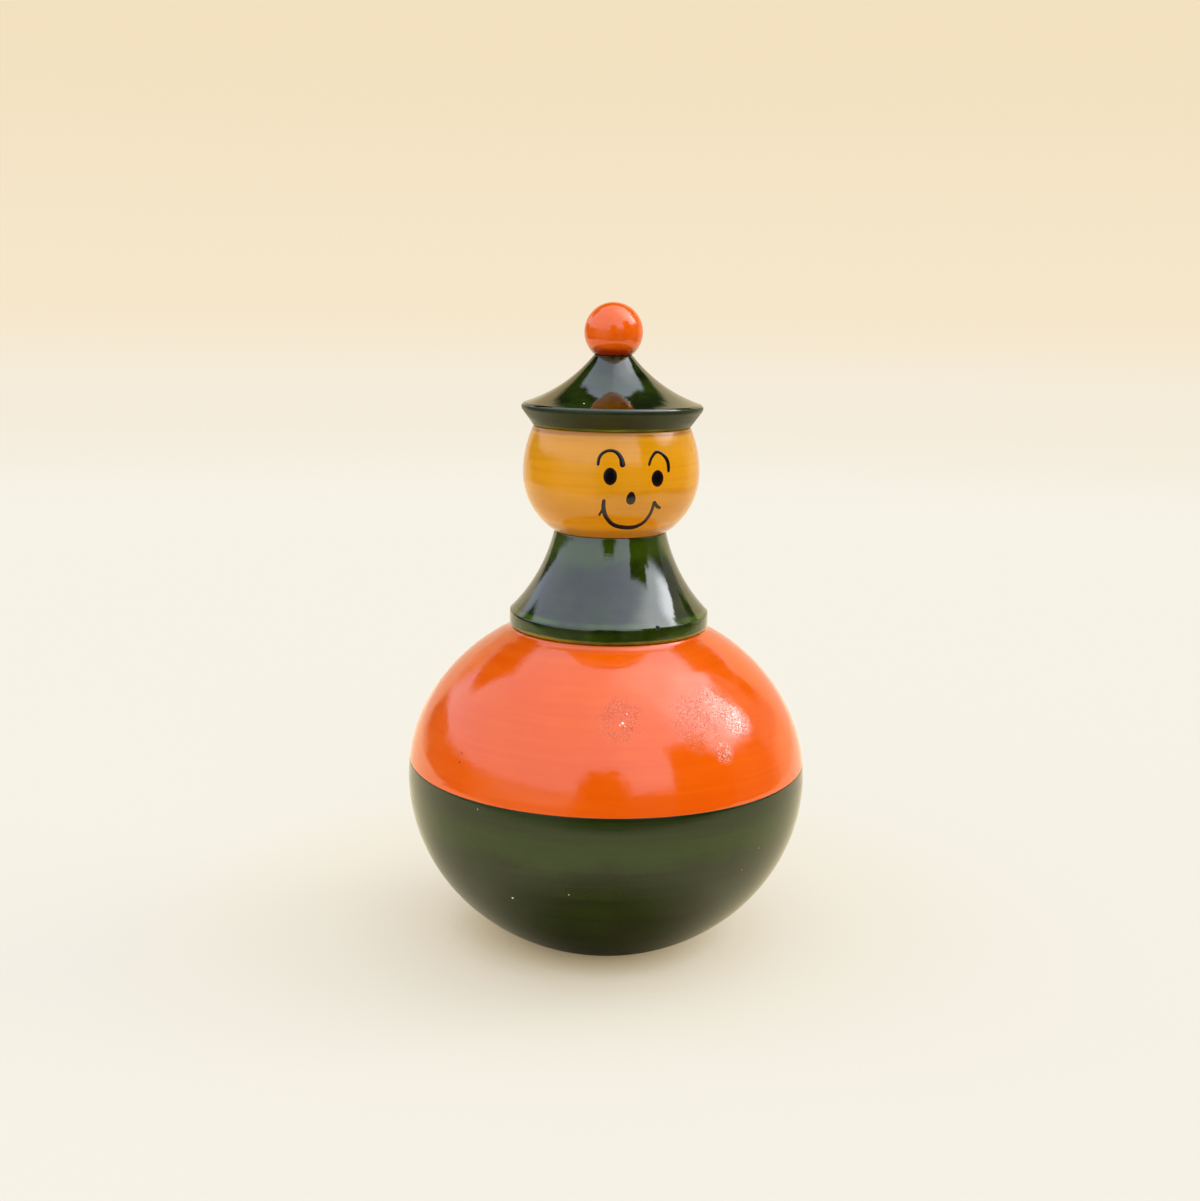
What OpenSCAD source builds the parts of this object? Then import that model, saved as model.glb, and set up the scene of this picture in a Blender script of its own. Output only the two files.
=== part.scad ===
// Roly poly doll: turned and lacquered wood, with a weight in its round base that always stands it up again.
// Every piece is turned about the Z axis. The origin is the lowest point of the base; the face looks to -Y.

/* [Body] */
// Greatest diameter of the round body
body_d = 80; // [72:1:100]
// Height of the base, from the floor up to the widest line
base_h = 36.5; // [32:0.5:44]
// Height above the widest line that the upper curve would reach if it ran on to a point
dome_h = 34.6; // [30:0.2:42]
// Height of the seam between the two halves above the widest line
seam_rise = 3.6; // [1:0.2:8]
// Wall of both hollow halves
body_wall = 6; // [5:0.5:8]
// How far the upper half's spigot reaches into the lower half
seam_lap = 5; // [3:0.5:8]
// Thickness of the upper half's crown, which holds the collar's tenon
crown_t = 10; // [8:0.5:14]

/* [Ballast] */
// Diameter of the steel weight
ballast_d = 40; // [32:1:48]
// Thickness of the steel weight
ballast_t = 14; // [10:0.5:17]
// Wood left under the weight
ballast_floor = 10; // [8:0.5:13]
// Depth of the recess that keeps the weight central
ballast_inset = 3; // [1:0.5:5]
// Bevel round the weight's edges
ballast_bevel = 1; // [0.5:0.1:2]
// Shank diameter of the screw that holds the weight
screw_d = 4; // [3:0.1:5]
// Diameter of the screw's countersunk head
screw_head_d = 8; // [6.5:0.1:10]
// Wood left under the hole for the screw
screw_cover = 2.5; // [1.5:0.5:5]
// Width of the slot in the screw's head
screw_slot_w = 1.2; // [0.8:0.1:1.6]

/* [Collar] */
// Diameter of the collar's rim
collar_d = 39.6; // [33:0.1:48]
// Height of the collar between the body and the head
collar_h = 19.2; // [15:0.1:24]
// Height at which the rim's upright face ends
rim_h = 2.8; // [2:0.1:6]
// Radius of the rim's rounded upper edge
rim_round = 1; // [0.3:0.1:1.5]
// Radius of the rim's rounded lower edge
rim_foot_round = 0.8; // [0.3:0.1:1.5]
// Radius of the hollow sweep from the rim up to the head
collar_sweep_r = 33; // [20:0.5:60]
// Diameter of the tenon under the collar
tenon_d = 20; // [16:0.5:24]
// How far the tenon stops short of the inside of the crown
tenon_short = 1; // [0.5:0.5:4]

/* [Head] */
// Greatest diameter of the head
head_d = 34.7; // [28.9:0.1:42]
// Height of the head
head_h = 20.6; // [17:0.1:26]
// Height of the widest line above the foot of the head
cheek_h = 11.4; // [10:0.1:13]
// Radius of the curve above the widest line
brow_curve_r = 22; // [18:0.5:40]
// Radius of the curve below the widest line
chin_curve_r = 13.5; // [13.2:0.1:20]

/* [Hat] */
// Height of the hat
hat_h = 13.7; // [11.4:0.1:18]
// How far the brim reaches past the top of the head
brim_reach = 2.4; // [1.6:0.1:4]
// Radius of the brim's rounded edge
brim_round = 0.9; // [0.3:0.1:1.2]
// Slope of the brim's underside, in degrees from upright
brim_lean = 36; // [20:1:45]
// Radius of the hollow sweep from the brim up to the ball
hat_sweep_r = 28.5; // [20:0.5:60]
// Diameter of the flat on which the ball sits
hat_top_d = 7.4; // [6.5:0.1:9]

/* [Ball] */
// Diameter of the ball on the hat
ball_d = 11.4; // [9.5:0.1:14]
// Diameter of the spigot under the ball
ball_spigot_d = 4; // [3:0.1:5]
// Length of the spigot under the ball
ball_spigot_len = 5; // [3:0.5:6]

/* [Joinery] */
// Diameter of the dowel that runs through the head
dowel_d = 9; // [7:0.5:11]
// Length of the dowel inside the collar
dowel_in_collar = 13; // [8:0.5:16]
// Wood left in the hat between the dowel's hole and the ball's hole
hat_web = 1.3; // [1:0.1:4]
// Bevel at both ends of the dowel
dowel_bevel = 0.8; // [0.3:0.1:1.2]
// Room for glue round each pin and spigot, on the radius
glue_gap = 0.1; // [0.05:0.05:0.3]
// Room left beyond the end of each pin and spigot
end_gap = 0.5; // [0.3:0.1:1]

/* [Hidden] */
turn_steps = 128;
// How far each cut runs past the face that it opens
overrun = 1;
// How far a hollow sweep cuts into its rounded edge, so that the two arcs cross cleanly
arc_cross = 0.0003;

body_r = body_d / 2;
lap_r = body_r - body_wall / 2;
collar_r = collar_d / 2;
collar_foot_r = collar_r - rim_foot_round;
tenon_r = tenon_d / 2;
head_r = head_d / 2;
brow_h = head_h - cheek_h;
ball_r = ball_d / 2;
hat_top_r = hat_top_d / 2;
dowel_r = dowel_d / 2;
dowel_bore_r = dowel_r + glue_gap;
ballast_r = ballast_d / 2;
screw_r = screw_d / 2;
screw_head_r = screw_head_d / 2;
screw_sink = screw_head_r - screw_r;
screw_tip = screw_d;
spigot_r = ball_spigot_d / 2;

// Depths that follow from the wood left beyond them
screw_bite = ballast_floor - screw_cover - end_gap;
tenon_len = crown_t - tenon_short;
dowel_in_hat = hat_h - ball_spigot_len - hat_web - 2 * end_gap;

// The collar's neck is as wide as the head's foot, and the hat's foot as wide as the head's top
chin_r = head_r - (chin_curve_r - sqrt(pow(chin_curve_r, 2) - pow(cheek_h, 2)));
crown_r = head_r - (brow_curve_r - sqrt(pow(brow_curve_r, 2) - pow(brow_h, 2)));

// Rounded to a thousandth of a millimetre, so that the faces of pieces on each other stay level
function level(z) = round(z * 1000) / 1000;

// Heights above the floor, each piece standing on the one below
seam_z = base_h + seam_rise;
collar_z = level(base_h + dome_h * sqrt(1 - pow(collar_foot_r / body_r, 2)));
head_z = collar_z + collar_h;
hat_z = head_z + head_h;
ball_z = hat_z + hat_h;
ball_rise = sqrt(pow(ball_r, 2) - pow(hat_top_r, 2));
ballast_z = ballast_floor;
ballast_top_z = ballast_z + ballast_t;
cavity_floor_z = ballast_floor + ballast_inset;
cavity_roof_z = collar_z - crown_t;

// Centre of a hollow sweep that ends at top and runs smoothly off a rounded edge about edge
function sweep_centre(top, edge, sweep_r, edge_r) =
    let (d = norm(edge - top), u = (edge - top) / d)
    let (along = (pow(sweep_r, 2) - pow(sweep_r + edge_r, 2) + pow(d, 2)) / (2 * d))
    let (across = sqrt(pow(sweep_r, 2) - pow(along, 2)))
    top + along * u + across * [-u[1], u[0]];

module turned() {
    rotate_extrude($fn = turn_steps) children();
}

// A band of the outline's plane, from the axis out to r, between heights low and high
module band(r, low, high) {
    translate([0, low]) square([r, high - low]);
}

// A flared outline: out from its foot to a rounded edge, then a hollow sweep from the edge up to top.
// The rounded edge begins at the angle start.
module flared_outline(foot_r, edge, edge_r, start, top, sweep_r) {
    c = sweep_centre(top, edge, sweep_r, edge_r);
    away = (c - edge) / norm(c - edge);
    difference() {
        polygon([[0, 0], [foot_r, 0], edge + edge_r * [cos(start), sin(start)], edge,
                 edge + (edge_r + overrun) * away, [edge[0], top[1]], [0, top[1]]]);
        translate(c) circle(r = sweep_r + arc_cross, $fn = turn_steps);
    }
    translate(edge) circle(r = edge_r, $fn = turn_steps);
}

// A quarter of an ellipse, standing on the widest line
module quarter_ellipse(r, h) {
    intersection() {
        scale([1, h / r]) circle(r = r, $fn = turn_steps);
        square([r, h]);
    }
}

// Outline of the egg-round body, set in from its outer face by inset
module body_outline(inset = 0) {
    translate([0, base_h]) {
        quarter_ellipse(body_r - inset, dome_h - inset);
        mirror([0, 1]) quarter_ellipse(body_r - inset, base_h - inset);
    }
}

// The space inside the body, with a flat floor for the weight and a flat roof under the crown
module cavity_outline() {
    intersection() {
        body_outline(body_wall);
        band(body_r, cavity_floor_z, cavity_roof_z);
    }
}

module lower_bowl() {
    rebate_z = seam_z - seam_lap - end_gap;
    pilot_z = ballast_z - screw_bite - end_gap;
    color("darkgreen") turned() difference() {
        intersection() {
            body_outline();
            band(body_r, 0, seam_z);
        }
        cavity_outline();
        band(lap_r, rebate_z, seam_z + overrun);
        band(ballast_r + glue_gap, ballast_z, ballast_top_z);
        band(screw_r + glue_gap, pilot_z, cavity_floor_z);
    }
}

module upper_dome() {
    color("darkorange") turned() difference() {
        intersection() {
            body_outline();
            union() {
                band(body_r, seam_z, collar_z);
                band(lap_r - glue_gap, seam_z - seam_lap, collar_z);
            }
        }
        cavity_outline();
        band(tenon_r + glue_gap, cavity_roof_z - overrun, collar_z + overrun);
    }
}

// Outline of a round bar between heights low and high, with both ends bevelled
module bevelled_bar(r, low, high, bevel) {
    polygon([[0, low], [r - bevel, low], [r, low + bevel], [r, high - bevel], [r - bevel, high], [0, high]]);
}

module ballast_weight() {
    hole_r = screw_r + glue_gap;
    sink_r = screw_head_r + glue_gap;
    color("slategray") turned() difference() {
        bevelled_bar(ballast_r, ballast_z, ballast_top_z, ballast_bevel);
        band(hole_r, ballast_z - overrun, ballast_top_z);
        polygon([[0, ballast_top_z - sink_r], [sink_r, ballast_top_z], [sink_r, ballast_top_z + overrun],
                 [0, ballast_top_z + overrun]]);
    }
}

// A slotted countersunk screw: the head's sides slope at 45 degrees, and the slot is half as deep as the head
module ballast_screw() {
    tip_z = ballast_z - screw_bite;
    color("silver") difference() {
        turned() polygon([[0, tip_z], [screw_r, tip_z + screw_tip], [screw_r, ballast_top_z - screw_sink],
                          [screw_head_r, ballast_top_z], [0, ballast_top_z]]);
        translate([0, 0, ballast_top_z])
            cube([screw_head_d + overrun, screw_slot_w, screw_sink], center = true);
    }
}

module collar() {
    edge = [collar_r - rim_round, rim_h];
    neck = [chin_r, collar_h];
    color("darkgreen") translate([0, 0, collar_z]) turned() difference() {
        union() {
            flared_outline(collar_foot_r, edge, rim_round, 0, neck, collar_sweep_r);
            translate([collar_foot_r, rim_foot_round]) circle(r = rim_foot_round, $fn = turn_steps);
            band(collar_r, rim_foot_round, rim_h);
            band(tenon_r, -tenon_len, rim_h);
        }
        band(dowel_bore_r, collar_h - dowel_in_collar - end_gap, collar_h + overrun);
    }
}

module neck_dowel() {
    color("burlywood") translate([0, 0, head_z]) turned()
        bevelled_bar(dowel_r, -dowel_in_collar, head_h + dowel_in_hat, dowel_bevel);
}

// A barrel of two curves that meet upright on its widest line
module head_outline() {
    translate([0, cheek_h]) {
        intersection() {
            translate([head_r - brow_curve_r, 0]) circle(r = brow_curve_r, $fn = turn_steps);
            band(head_r, 0, brow_h);
        }
        intersection() {
            translate([head_r - chin_curve_r, 0]) circle(r = chin_curve_r, $fn = turn_steps);
            band(head_r, -cheek_h, 0);
        }
    }
}

module head() {
    color("goldenrod") translate([0, 0, head_z]) turned() difference() {
        head_outline();
        band(dowel_bore_r, -overrun, head_h + overrun);
    }
}

module hat() {
    edge_r = crown_r + brim_reach - brim_round;
    edge_h = (brim_round + (edge_r - crown_r) * cos(brim_lean)) / sin(brim_lean);
    top = [hat_top_r, hat_h];
    color("darkgreen") translate([0, 0, hat_z]) turned() difference() {
        flared_outline(crown_r, [edge_r, edge_h], brim_round, -brim_lean, top, hat_sweep_r);
        band(dowel_bore_r, -overrun, dowel_in_hat + end_gap);
        band(spigot_r + glue_gap, hat_h - ball_spigot_len - end_gap, hat_h + overrun);
    }
}

module hat_ball() {
    color("darkorange") translate([0, 0, ball_z]) turned() {
        intersection() {
            translate([0, ball_rise]) circle(r = ball_r, $fn = turn_steps);
            band(ball_r, 0, ball_d);
        }
        band(spigot_r, -ball_spigot_len, ball_rise);
    }
}

lower_bowl();
upper_dome();
ballast_weight();
ballast_screw();
collar();
neck_dowel();
head();
hat();
hat_ball();
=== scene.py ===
"""Looks of a weighted roly poly doll in turned wood, coloured with burnished lac.

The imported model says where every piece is. The turned pieces that show are made again here as fine
lathe meshes with soft edges and open bores, the face is laid on as strokes of raised paint, and the
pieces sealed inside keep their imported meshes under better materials. Sizes are in millimetres and
angles in degrees, and both become Blender's units where a mesh is made. The face looks to -Y, and a
place on the doll is given by its angle from there, positive to the doll's left, and its height.
"""

import logging
import math
from abc import ABC, abstractmethod
from collections.abc import Callable
from dataclasses import dataclass, field, replace
from enum import Enum
from typing import NamedTuple

import bpy
from mathutils import Matrix, Vector


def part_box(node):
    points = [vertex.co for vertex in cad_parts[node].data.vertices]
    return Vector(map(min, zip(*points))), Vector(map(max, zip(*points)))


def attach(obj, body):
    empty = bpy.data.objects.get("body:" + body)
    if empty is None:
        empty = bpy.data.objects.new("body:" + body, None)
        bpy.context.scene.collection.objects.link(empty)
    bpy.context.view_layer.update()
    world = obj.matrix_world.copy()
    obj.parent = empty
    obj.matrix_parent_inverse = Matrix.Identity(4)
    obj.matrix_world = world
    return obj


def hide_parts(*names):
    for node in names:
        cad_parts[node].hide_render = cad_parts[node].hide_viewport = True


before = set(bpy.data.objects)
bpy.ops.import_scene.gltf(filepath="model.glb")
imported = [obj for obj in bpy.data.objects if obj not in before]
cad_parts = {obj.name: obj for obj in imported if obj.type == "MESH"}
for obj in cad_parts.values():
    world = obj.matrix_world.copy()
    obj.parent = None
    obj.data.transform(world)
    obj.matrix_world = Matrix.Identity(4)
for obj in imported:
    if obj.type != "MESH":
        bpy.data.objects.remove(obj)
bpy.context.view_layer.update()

log = logging.getLogger("roly_poly")

MM = 0.001
WHOLE_DOLL = "root"

# Every turned piece has this many steps round the axis.
TURN_STEPS = 192
# Edges that bend more than this stay crisp, and the rest shade smoothly.
CRISP_EDGE = 35.0
# Turned pieces get a texture map of this name for baking, in which inner faces get a small share.
BAKE_MAP = "OFBake"
INNER_SHARE = 0.12
# Each point of a turned mesh says whether it is bare wood inside a joint or bore.
BARE = "bare"
# Each point of the painted face says how thin the paint is there.
THIN = "thin"
# Most of a noise lies between these.
NOISE_SPAN = (0.3, 0.7)

Colour = tuple[float, float, float, float]
Light = tuple[float, float, float]
# Two values of a noise, at which something starts and is complete, or two shares.
Pair = tuple[float, float]
Stops = tuple[tuple[float, str], ...]
Socket = bpy.types.NodeSocket
Tree = bpy.types.NodeTree


class Slot(Enum):
    """The record's material slots."""

    GREEN_LAC = "green_lac"
    ORANGE_LAC = "orange_lac"
    AMBER_LAC = "amber_lac"
    FACE_PAINT = "face_paint"


class Recipe(NamedTuple):
    """A shader node's type, its inputs in the order they are given, the output taken, and its settings."""

    kind: str
    inputs: tuple[int | str, ...] = ()
    output: int | str = 0
    settings: dict[str, str] = {}


class Step(Enum):
    """What a shader node does with what it is given."""

    ADD = Recipe("Math", (0, 1), 0, {"operation": "ADD"})
    SUBTRACT = Recipe("Math", (0, 1), 0, {"operation": "SUBTRACT"})
    MULTIPLY = Recipe("Math", (0, 1), 0, {"operation": "MULTIPLY"})
    DIVIDE = Recipe("Math", (0, 1), 0, {"operation": "DIVIDE"})
    MULTIPLY_ADD = Recipe("Math", (0, 1, 2), 0, {"operation": "MULTIPLY_ADD"})
    MAXIMUM = Recipe("Math", (0, 1), 0, {"operation": "MAXIMUM"})
    EXCEEDS = Recipe("Math", (0, 1), 0, {"operation": "GREATER_THAN"})
    ABSOLUTE = Recipe("Math", (0,), 0, {"operation": "ABSOLUTE"})
    SINE = Recipe("Math", (0,), 0, {"operation": "SINE"})
    ARCSINE = Recipe("Math", (0,), 0, {"operation": "ARCSINE"})
    ARCTAN2 = Recipe("Math", (0, 1), 0, {"operation": "ARCTAN2"})
    DEGREES = Recipe("Math", (0,), 0, {"operation": "DEGREES"})
    # A value, the two values between which it is eased, and the results at their ends, or nothing to one.
    EASE = Recipe("MapRange", (0, 1, 2, 3, 4), 0, {"interpolation_type": "SMOOTHSTEP"})
    # A colour, another colour and the share of the other, on sockets whose names are not unique.
    BLEND = Recipe("Mix", (6, 7, 0), 2, {"data_type": "RGBA"})
    STRETCH = Recipe("VectorMath", (0, 1), 0, {"operation": "MULTIPLY"})
    STRETCH_ADD = Recipe("VectorMath", (0, 1, 2), 0, {"operation": "MULTIPLY_ADD"})
    SCALE = Recipe("VectorMath", (0, "Scale"), 0, {"operation": "SCALE"})
    NORMALIZE = Recipe("VectorMath", (0,), 0, {"operation": "NORMALIZE"})
    LENGTH = Recipe("VectorMath", (0,), "Value", {"operation": "LENGTH"})
    DISTANCE = Recipe("VectorMath", (0, 1), "Value", {"operation": "DISTANCE"})
    DOT_PRODUCT = Recipe("VectorMath", (0, 1), "Value", {"operation": "DOT_PRODUCT"})
    HEIGHT = Recipe("SeparateXYZ", (0,), "Z")
    COMBINE = Recipe("CombineXYZ", ("X", "Y", "Z"))
    NOISE = Recipe("TexNoise", ("Vector", "Scale", "Detail"))
    BUMP = Recipe("Bump", ("Height", "Distance"))
    BARE_SHARE = Recipe("Attribute", (), "Fac", {"attribute_name": BARE})
    THIN_SHARE = Recipe("Attribute", (), "Fac", {"attribute_name": THIN})
    PLACE = Recipe("TexCoord", (), "Object")
    DIRECTION = Recipe("TexCoord", (), "Generated")
    CAMERA_RAY = Recipe("LightPath", (), "Is Camera Ray")
    GLOSSY_RAY = Recipe("LightPath", (), "Is Glossy Ray")
    TRANSMISSION_RAY = Recipe("LightPath", (), "Is Transmission Ray")
    BACK_FACE = Recipe("NewGeometry", (), "Backfacing")
    OPEN_SHARE = Recipe("AmbientOcclusion", ("Distance", "Normal"), "AO")
    EMISSION = Recipe("Emission", ("Color",))
    TRANSPARENT = Recipe("BsdfTransparent")
    BACKGROUND = Recipe("Background", ("Color",))
    MIX_SHADERS = Recipe("MixShader", (0, 1, 2))


Given = Socket | Colour | Vector | float


def linear(hex_colour: str) -> Colour:
    """Turn an sRGB hex colour into linear light.

    Args:
        hex_colour: Six hex digits after a hash sign.

    Returns:
        Red, green, blue and a full alpha.
    """
    shares = [int(hex_colour[i:i + 2], 16) / 255 for i in (1, 3, 5)]
    light = [s / 12.92 if s <= 0.04045 else ((s + 0.055) / 1.055) ** 2.4 for s in shares]
    return light[0], light[1], light[2], 1.0


def add_node(tree: Tree, step: Step, *given: Given) -> Socket:
    """Add the shader node for a step, set its properties and fill its inputs.

    Args:
        tree: The node tree that gets the node.
        step: What the node does.
        *given: For each of the step's inputs, a value or the output socket to link to it.

    Returns:
        The output that the step takes.
    """
    recipe = step.value
    node = tree.nodes.new("ShaderNode" + recipe.kind)
    for name, value in recipe.settings.items():
        setattr(node, name, value)
    for key, value in zip(recipe.inputs, given):
        if isinstance(value, Socket):
            tree.links.new(value, node.inputs[key])
        else:
            node.inputs[key].default_value = value
    return node.outputs[recipe.output]


def gradient(tree: Tree, value: Socket, stops: Stops) -> Given:
    """Blend from colour to colour along a value.

    Args:
        tree: The node tree to add to.
        value: The value to follow.
        stops: The values at which the colours are reached, in rising order, with their hex colours.

    Returns:
        The blended colour.
    """
    colour: Given = linear(stops[0][1])
    for (low, _), (high, hex_colour) in zip(stops, stops[1:]):
        share = add_node(tree, Step.EASE, value, low, high)
        colour = add_node(tree, Step.BLEND, colour, linear(hex_colour), share)
    return colour


class Spot(NamedTuple):
    """A place on the doll's outside."""

    angle: float
    height: float
    radius: float

    def point(self) -> Vector:
        """Return the place as a point in millimetres."""
        turned = math.radians(self.angle)
        return Vector((self.radius * math.sin(turned), -self.radius * math.cos(turned), self.height))


@dataclass(frozen=True)
class Fleck:
    """A speck of dust, a bubble or a pinhole in the lac."""

    spot: Spot
    size: float
    colour: str


@dataclass(frozen=True)
class Scuff:
    """A patch where the lac is pitted and its gloss is broken."""

    spot: Spot
    reach: float
    # Share of it that shows pale specks, painted glints where the broken gloss would sparkle.
    painted_glints: float


@dataclass(frozen=True)
class Band:
    """A ring of another colour: lac run thick, a neighbour's colour dragged across, or painted shade where
    less light falls.
    """

    height: float
    spread: float
    colour: str
    strength: float
    # Nothing for a whole ring, up to one for a few broken stretches of it.
    broken: float = 0.0


@dataclass(frozen=True)
class Finish(ABC):
    """A real material and the way its surface was made."""

    name: str

    def material(self) -> bpy.types.Material:
        """Return the finish as a Blender material, which is made once."""
        made = bpy.data.materials.get(self.name)
        if made is None:
            made = bpy.data.materials.new(self.name)
            made.use_nodes = True
            tree = made.node_tree
            self.paint(tree, tree.nodes["Principled BSDF"])
        return made

    @abstractmethod
    def paint(self, tree: Tree, shader: bpy.types.Node) -> None:
        """Fill the node tree of the material.

        Args:
            tree: The material's node tree.
            shader: Its principled shader.
        """

    def place(self, tree: Tree) -> Socket:
        """Return the point on the doll in millimetres."""
        return add_node(tree, Step.SCALE, add_node(tree, Step.PLACE), 1 / MM)

    def from_axis(self, tree: Tree, place: Socket) -> Socket:
        """Return the way from the doll's axis to a point, level with it."""
        return add_node(tree, Step.STRETCH, place, (1, 1, 0))

    def rings(self, tree: Tree, place: Socket, spacing: float, lengths: float, detail: float = 4.0) -> Socket:
        """Return noise that is drawn out round the axis, as everything on a lathe is.

        Args:
            tree: The node tree to add to.
            place: The point on the doll in millimetres.
            spacing: Height of a streak in millimetres.
            lengths: About how many streaks follow each other round the doll.
            detail: How many finer layers the noise has.

        Returns:
            The noise, from 0 to 1.
        """
        round_axis = add_node(tree, Step.NORMALIZE, self.from_axis(tree, place))
        spread = add_node(tree, Step.SCALE, round_axis, lengths / math.tau)
        way = add_node(tree, Step.STRETCH_ADD, place, (0, 0, 1 / spacing), spread)
        return add_node(tree, Step.NOISE, way, 1.0, detail)

    def cloud(self, tree: Tree, place: Socket, size: float, detail: float = 3.0) -> Socket:
        """Return soft noise whose patches are about size millimetres across."""
        return add_node(tree, Step.NOISE, place, 1 / size, detail)

    def near(self, tree: Tree, place: Socket, spot: Spot, core: float, reach: float) -> Socket:
        """Return one at a spot, fading to nothing at its reach from a core that is a share of it."""
        away = add_node(tree, Step.DISTANCE, place, spot.point())
        return add_node(tree, Step.EASE, away, core * reach, reach, 1.0, 0.0)

    def uneven(self, tree: Tree, noise: Socket, roughness: float, shares: Pair) -> Socket:
        """Return a roughness that varies with a noise between two shares of it."""
        return add_node(tree, Step.EASE, noise, *NOISE_SPAN, shares[0] * roughness, shares[1] * roughness)

    def wire(self, tree: Tree, shader: bpy.types.Node, colour: Socket, rough: Socket, high: Socket) -> None:
        """Link what was worked out to the shader.

        Args:
            tree: The material's node tree.
            shader: Its principled shader.
            colour: The colour.
            rough: The roughness.
            high: Height of the surface in millimetres.
        """
        bent = add_node(tree, Step.BUMP, high, MM)
        for name, socket in (("Base Color", colour), ("Roughness", rough), ("Normal", bent)):
            tree.links.new(socket, shader.inputs[name])


@dataclass(frozen=True)
class Lac(Finish):
    """Stick lac melted on to spinning wood in a thin coloured skin and burnished with a leaf.

    The eye sees a deep clear colour, cloudy where the lac is thicker, with faint streaks round the
    piece and a wet gloss that breaks up where the skin is pitted, with pale glints painted in there.
    """

    thick: str
    thin: str
    # Noise at which thick lac gives way to thin.
    thinning: Pair = (0.35, 0.65)
    # Height of the turning streaks, how many follow each other round, and how much they colour.
    streak: float = 0.7
    streak_lengths: float = 9.0
    streak_contrast: float = 0.6
    # Width of the clouds of thicker lac.
    cloud_size: float = 7.0
    # Depth of the streaks and of the slow waves that bend a reflection, and the width of a wave.
    streak_depth: float = 0.01
    wave_depth: float = 0.07
    wave_size: float = 3.0
    wave_detail: float = 2.0
    # The streaks vary the roughness between two shares of it.
    roughness: float = 0.2
    rough_shares: Pair = (0.8, 1.2)
    shine: float = 0.5
    bands: tuple[Band, ...] = ()
    flecks: tuple[Fleck, ...] = ()
    scuffs: tuple[Scuff, ...] = ()

    # A fleck, a scuff and a band are whole up to these shares of their reach.
    fleck_core: float = 0.5
    scuff_core: float = 0.4
    band_core: float = 0.2
    # Height, number and noise of the stretches into which a band breaks.
    break_height: float = 12.0
    break_lengths: float = 7.0
    breaking: Pair = (0.45, 0.6)

    # A scuff's pits are this wide and deep, in clumps this wide, and the broken gloss is this much rougher.
    pit_size: float = 0.24
    pit_depth: float = 0.05
    pit_detail: float = 1.0
    clump_size: float = 1.6
    pit_roughness: float = 0.2
    # Noise at which clumps, pits and painted glints start and are complete. Glints lie where it is low.
    clumping: Pair = (0.32, 0.54)
    pitting: Pair = (0.54, 0.62)
    glint_noise: Pair = (0.41, 0.47)
    # The pits are coloured this darker red over this share of them.
    pit_colour: str = "#a83818"
    pit_colour_share: float = 0.5
    # Colour of the painted glints, pale specks that stand in for sparkles of light.
    glint_paint: str = "#ffe4d8"
    bare_wood: str = "#d9b98a"
    bare_roughness: float = 0.7

    def paint(self, tree: Tree, shader: bpy.types.Node) -> None:
        """Colour the lac, then give it streaks, waves, pits, specks and painted glints."""
        place = self.place(tree)
        streaks = self.rings(tree, place, self.streak, self.streak_lengths)
        clouds = self.cloud(tree, place, self.cloud_size)
        scuffed, painted_glints = self.scuffed(tree, place)

        share = add_node(tree, Step.MULTIPLY, streaks, self.streak_contrast)
        share = add_node(tree, Step.MULTIPLY_ADD, clouds, 1 - self.streak_contrast, share)
        share = add_node(tree, Step.EASE, share, *self.thinning)
        colour = add_node(tree, Step.BLEND, linear(self.thick), linear(self.thin), share)
        colour = self.banded(tree, place, clouds, colour)
        pits_coloured = add_node(tree, Step.MULTIPLY, scuffed, self.pit_colour_share)
        colour = add_node(tree, Step.BLEND, colour, linear(self.pit_colour), pits_coloured)
        # Pale specks painted into the colour as glints of light in the scuffs.
        colour = add_node(tree, Step.BLEND, colour, linear(self.glint_paint), painted_glints)
        rough = self.uneven(tree, streaks, self.roughness, self.rough_shares)
        rough = add_node(tree, Step.MULTIPLY_ADD, scuffed, self.pit_roughness, rough)
        for fleck in self.flecks:
            seen = self.near(tree, place, fleck.spot, self.fleck_core, fleck.size / 2)
            colour = add_node(tree, Step.BLEND, colour, linear(fleck.colour), seen)
            rough = add_node(tree, Step.MAXIMUM, rough, seen)
        bare = add_node(tree, Step.BARE_SHARE)
        colour = add_node(tree, Step.BLEND, colour, linear(self.bare_wood), bare)
        rough = add_node(tree, Step.MAXIMUM, rough, add_node(tree, Step.MULTIPLY, bare, self.bare_roughness))

        shader.inputs["Specular IOR Level"].default_value = self.shine
        waves = self.cloud(tree, place, self.wave_size, self.wave_detail)
        high = add_node(tree, Step.MULTIPLY, streaks, self.streak_depth)
        high = add_node(tree, Step.MULTIPLY_ADD, waves, self.wave_depth, high)
        high = add_node(tree, Step.MULTIPLY_ADD, scuffed, -self.pit_depth, high)
        self.wire(tree, shader, colour, rough, high)

    def scuffed(self, tree: Tree, place: Socket) -> tuple[Given, Given]:
        """Return how pitted the skin is and how much of it shows painted glints, each from 0 to 1."""
        worn: Given = 0.0
        painted_glints: Given = 0.0
        if not self.scuffs:
            return worn, painted_glints
        for scuff in self.scuffs:
            patch = self.near(tree, place, scuff.spot, self.scuff_core, scuff.reach)
            worn = add_node(tree, Step.MAXIMUM, worn, patch)
            painted_glints = add_node(tree, Step.MAXIMUM, painted_glints, add_node(tree, Step.MULTIPLY, patch, scuff.painted_glints))
        clumps = add_node(tree, Step.EASE, self.cloud(tree, place, self.clump_size), *self.clumping)
        grit = self.cloud(tree, place, self.pit_size, self.pit_detail)
        pits = add_node(tree, Step.MULTIPLY, clumps, add_node(tree, Step.EASE, grit, *self.pitting))
        low_grit = add_node(tree, Step.EASE, grit, *self.glint_noise, 1.0, 0.0)
        glint_specks = add_node(tree, Step.MULTIPLY, clumps, low_grit)
        return add_node(tree, Step.MULTIPLY, worn, pits), add_node(tree, Step.MULTIPLY, painted_glints, glint_specks)

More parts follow.
